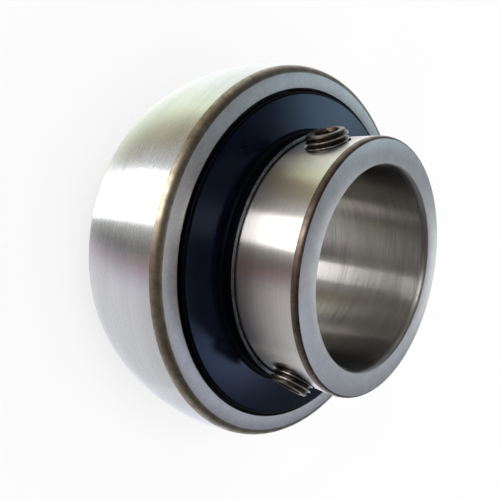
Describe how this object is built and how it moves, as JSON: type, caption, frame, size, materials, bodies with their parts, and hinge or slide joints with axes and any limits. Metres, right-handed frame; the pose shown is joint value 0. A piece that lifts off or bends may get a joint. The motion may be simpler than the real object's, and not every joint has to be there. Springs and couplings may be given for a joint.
{
  "type": "insert bearing",
  "caption": "Insert bearing with a spherical outer ring, a wide inner ring with set screws, caged balls, seals and flingers, for a round shaft in a swivelling housing.",
  "frame": {"origin": "centre of the inner ring's rear face, on the bearing's axis, where the bearing stands", "axes": "+Z along the bearing's axis from the short side to the long side with the set screws; -Y midway between the two set screws"},
  "size_m": [0.062, 0.062, 0.0381],
  "materials": {
    "ring_steel": "fine ground bearing steel",
    "ball_steel": "lapped bearing steel",
    "cage_steel": "pressed steel sheet",
    "seal_steel": "pressed steel sheet",
    "seal_rubber": "nitrile rubber",
    "flinger_black": "blue-black coated pressed steel, semi-gloss",
    "screw_steel": "brownish black oxide on steel"
  },
  "bodies": {
    "outer": {"outer_ring": "ring_steel", "seal_plate_front": "seal_steel", "seal_plate_rear": "seal_steel", "seal_lip_front": "seal_rubber", "seal_lip_rear": "seal_rubber"},
    "inner": {"inner_ring": "ring_steel", "flinger_front": "flinger_black", "flinger_rear": "flinger_black"},
    "cage": {"cage_front": "cage_steel", "cage_rear": "cage_steel", "cage_rivet_1": "cage_steel", "cage_rivet_2": "cage_steel", "cage_rivet_3": "cage_steel", "cage_rivet_4": "cage_steel", "cage_rivet_5": "cage_steel", "cage_rivet_6": "cage_steel", "cage_rivet_7": "cage_steel", "cage_rivet_8": "cage_steel", "cage_rivet_9": "cage_steel"},
    "ball_1": {"ball_1": "ball_steel"},
    "ball_2": {"ball_2": "ball_steel"},
    "ball_3": {"ball_3": "ball_steel"},
    "ball_4": {"ball_4": "ball_steel"},
    "ball_5": {"ball_5": "ball_steel"},
    "ball_6": {"ball_6": "ball_steel"},
    "ball_7": {"ball_7": "ball_steel"},
    "ball_8": {"ball_8": "ball_steel"},
    "ball_9": {"ball_9": "ball_steel"},
    "screw_1": {"set_screw_1": "screw_steel"},
    "screw_2": {"set_screw_2": "screw_steel"}
  },
  "joints": [
    {"name": "inner_spin", "type": "hinge", "parent": "outer", "child": "inner", "pos_m": [0, 0, 0.0159], "axis": [0, 0, 1], "continuous": true},
    {"name": "cage_spin", "type": "hinge", "parent": "outer", "child": "cage", "pos_m": [0, 0, 0.0159], "axis": [0, 0, 1], "continuous": true},
    {"name": "ball_1_roll", "type": "hinge", "parent": "cage", "child": "ball_1", "pos_m": [0.02251, 0, 0.0159], "axis": [0, 0, 1], "continuous": true},
    {"name": "ball_2_roll", "type": "hinge", "parent": "cage", "child": "ball_2", "pos_m": [0.01725, 0.01447, 0.0159], "axis": [0, 0, 1], "continuous": true},
    {"name": "ball_3_roll", "type": "hinge", "parent": "cage", "child": "ball_3", "pos_m": [0.00391, 0.02217, 0.0159], "axis": [0, 0, 1], "continuous": true},
    {"name": "ball_4_roll", "type": "hinge", "parent": "cage", "child": "ball_4", "pos_m": [-0.01126, 0.0195, 0.0159], "axis": [0, 0, 1], "continuous": true},
    {"name": "ball_5_roll", "type": "hinge", "parent": "cage", "child": "ball_5", "pos_m": [-0.02115, 0.0077, 0.0159], "axis": [0, 0, 1], "continuous": true},
    {"name": "ball_6_roll", "type": "hinge", "parent": "cage", "child": "ball_6", "pos_m": [-0.02115, -0.0077, 0.0159], "axis": [0, 0, 1], "continuous": true},
    {"name": "ball_7_roll", "type": "hinge", "parent": "cage", "child": "ball_7", "pos_m": [-0.01126, -0.0195, 0.0159], "axis": [0, 0, 1], "continuous": true},
    {"name": "ball_8_roll", "type": "hinge", "parent": "cage", "child": "ball_8", "pos_m": [0.00391, -0.02217, 0.0159], "axis": [0, 0, 1], "continuous": true},
    {"name": "ball_9_roll", "type": "hinge", "parent": "cage", "child": "ball_9", "pos_m": [0.01725, -0.01447, 0.0159], "axis": [0, 0, 1], "continuous": true},
    {"name": "set_screw_1_drive", "type": "slide", "parent": "inner", "child": "screw_1", "axis": [-0.866, -0.5, 0], "range_m": [-0.0005, 0.003]},
    {"name": "set_screw_2_drive", "type": "slide", "parent": "inner", "child": "screw_2", "axis": [0.866, -0.5, 0], "range_m": [-0.0005, 0.003]}
  ],
  "couplings": [
    {"joint": "cage_spin", "follows": "inner_spin", "ratio": 0.39423},
    {"joint": "ball_1_roll", "follows": "inner_spin", "ratio": -2.2577},
    {"joint": "ball_2_roll", "follows": "inner_spin", "ratio": -2.2577},
    {"joint": "ball_3_roll", "follows": "inner_spin", "ratio": -2.2577},
    {"joint": "ball_4_roll", "follows": "inner_spin", "ratio": -2.2577},
    {"joint": "ball_5_roll", "follows": "inner_spin", "ratio": -2.2577},
    {"joint": "ball_6_roll", "follows": "inner_spin", "ratio": -2.2577},
    {"joint": "ball_7_roll", "follows": "inner_spin", "ratio": -2.2577},
    {"joint": "ball_8_roll", "follows": "inner_spin", "ratio": -2.2577},
    {"joint": "ball_9_roll", "follows": "inner_spin", "ratio": -2.2577}
  ]
}
